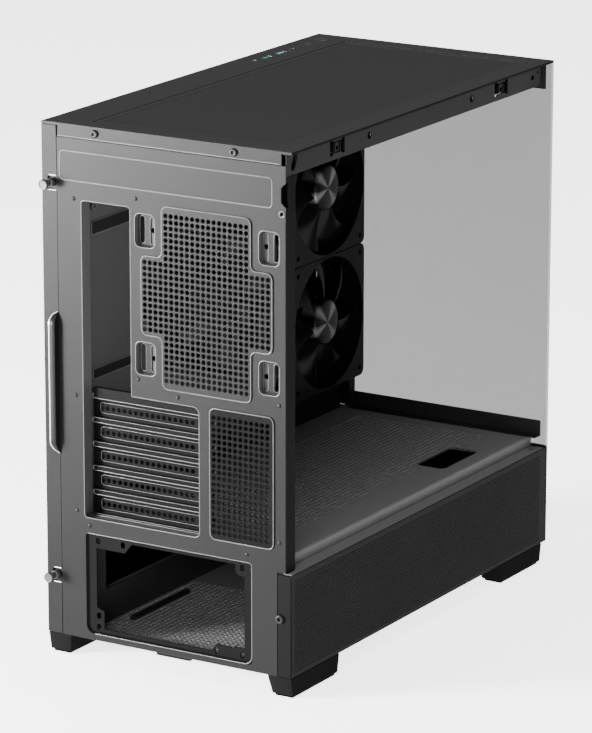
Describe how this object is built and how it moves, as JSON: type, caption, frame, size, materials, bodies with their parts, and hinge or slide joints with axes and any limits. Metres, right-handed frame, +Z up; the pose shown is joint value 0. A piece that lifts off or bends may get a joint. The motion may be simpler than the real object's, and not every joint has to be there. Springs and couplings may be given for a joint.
{
  "type": "desktop computer tower",
  "caption": "Micro-tower computer case with an open left side, tinted glass front, perforated rear, sliding side panels, filters, buttons and spinning fans.",
  "frame": {"origin": "on the floor, under the middle of the box that holds the whole part", "axes": "+X right (steel) side, +Y rear panel, +Z up; the open side faces -X and the glass front faces -Y"},
  "size_m": [0.234, 0.445, 0.4477],
  "materials": {
    "case_steel": "fine satin powder coat",
    "black_plastic": "fine moulded grain",
    "fan_plastic": "satin",
    "blade_plastic": "gloss",
    "foot_rubber": "matt",
    "filter_mesh": "fine mesh",
    "tinted_glass": "neutral tint, polished",
    "pad_grey": "matt moulded",
    "screw_steel": "black zinc",
    "bright_steel": "plated",
    "brass_posts": "turned",
    "knob_metal": "satin grey",
    "button_plastic": "satin"
  },
  "bodies": {
    "chassis": {"base_tray": "case_steel", "intake_floor": "case_steel", "rear_plate": "case_steel", "rear_fan_grille": "case_steel", "rear_vent_grille": "case_steel", "psu_rear_panel": "case_steel", "slot_frame": "case_steel", "top_plate": "case_steel", "top_left_rail": "case_steel", "motherboard_tray": "case_steel", "side_fan_bracket": "case_steel", "psu_shroud": "case_steel", "shroud_mesh": "case_steel", "front_top_rail": "case_steel", "front_bottom_rail": "case_steel", "front_right_pillar": "case_steel", "drive_cage": "case_steel", "ssd_plate": "case_steel", "slot_cover_1": "case_steel", "slot_cover_2": "case_steel", "slot_cover_3": "case_steel", "slot_cover_4": "case_steel", "slot_cover_5": "case_steel", "front_lower_panel": "black_plastic", "panel_sockets": "black_plastic", "io_housing": "black_plastic", "foot_rear_left": "black_plastic", "foot_rear_right": "black_plastic", "foot_front_left": "black_plastic", "foot_front_right": "black_plastic", "rear_fan_frame": "fan_plastic", "side_fan_lower_frame": "fan_plastic", "side_fan_upper_frame": "fan_plastic", "rear_fan_motor": "blade_plastic", "side_fan_lower_motor": "blade_plastic", "side_fan_upper_motor": "blade_plastic", "foot_pads": "foot_rubber", "front_glass": "tinted_glass", "slot_screws": "screw_steel", "rivets": "screw_steel", "lid_screws": "screw_steel", "side_fan_screws": "screw_steel", "rear_fan_pads": "pad_grey", "usb_c_port": "bright_steel", "usb_a_ports": "bright_steel", "audio_jack": "bright_steel", "standoffs": "brass_posts"},
    "right_panel": {"right_side_panel": "case_steel"},
    "upper_knob": {"upper_thumbscrew": "knob_metal"},
    "lower_knob": {"lower_thumbscrew": "knob_metal"},
    "left_panel": {"left_mesh_panel": "case_steel"},
    "left_screw": {"left_panel_screw": "screw_steel"},
    "bottom_filter": {"bottom_dust_filter": "black_plastic"},
    "top_filter": {"top_dust_filter": "filter_mesh"},
    "drive_carrier": {"drive_tray": "black_plastic"},
    "power": {"power_button": "button_plastic"},
    "reset": {"reset_button": "button_plastic"},
    "rear_fan_spin_part": {"rear_fan_rotor": "blade_plastic"},
    "side_fan_lower_spin_part": {"side_fan_lower_rotor": "blade_plastic"},
    "side_fan_upper_spin_part": {"side_fan_upper_rotor": "blade_plastic"}
  },
  "joints": [
    {"name": "right_panel_slide", "type": "slide", "parent": "chassis", "child": "right_panel", "axis": [0, 1, 0], "range_m": [0, 0.018]},
    {"name": "upper_knob_turn", "type": "hinge", "parent": "right_panel", "child": "upper_knob", "pos_m": [0.1084, 0.2105, 0.398], "axis": [0, 1, 0], "continuous": true},
    {"name": "lower_knob_turn", "type": "hinge", "parent": "right_panel", "child": "lower_knob", "pos_m": [0.1084, 0.2105, 0.0685], "axis": [0, 1, 0], "continuous": true},
    {"name": "left_panel_slide", "type": "slide", "parent": "chassis", "child": "left_panel", "axis": [0, 1, 0], "range_m": [0, 0.015]},
    {"name": "left_screw_turn", "type": "hinge", "parent": "left_panel", "child": "left_screw", "pos_m": [-0.1068, 0.2105, 0.0669], "axis": [0, 1, 0], "continuous": true},
    {"name": "bottom_filter_slide", "type": "slide", "parent": "chassis", "child": "bottom_filter", "axis": [0, 1, 0], "range_m": [0, 0.16]},
    {"name": "top_filter_lift", "type": "slide", "parent": "chassis", "child": "top_filter", "axis": [0, 0, 1], "range_m": [0, 0.04]},
    {"name": "drive_tray_slide", "type": "slide", "parent": "chassis", "child": "drive_carrier", "axis": [0, 1, 0], "range_m": [0, 0.12]},
    {"name": "power_press", "type": "slide", "parent": "chassis", "child": "power", "axis": [0, 0, -1], "range_m": [0, 0.0015], "stiffness_N_per_m": 800, "springref_m": -0.0006},
    {"name": "reset_press", "type": "slide", "parent": "chassis", "child": "reset", "axis": [0, 0, -1], "range_m": [0, 0.0012], "stiffness_N_per_m": 800, "springref_m": -0.0004},
    {"name": "rear_fan_spin", "type": "hinge", "parent": "chassis", "child": "rear_fan_spin_part", "pos_m": [-0.0389, 0.1924, 0.3163], "axis": [0, 1, 0], "continuous": true},
    {"name": "side_fan_lower_spin", "type": "hinge", "parent": "chassis", "child": "side_fan_lower_spin_part", "pos_m": [0.0725, -0.1463, 0.2089], "axis": [1, 0, 0], "continuous": true},
    {"name": "side_fan_upper_spin", "type": "hinge", "parent": "chassis", "child": "side_fan_upper_spin_part", "pos_m": [0.0725, -0.1463, 0.3292], "axis": [1, 0, 0], "continuous": true}
  ]
}
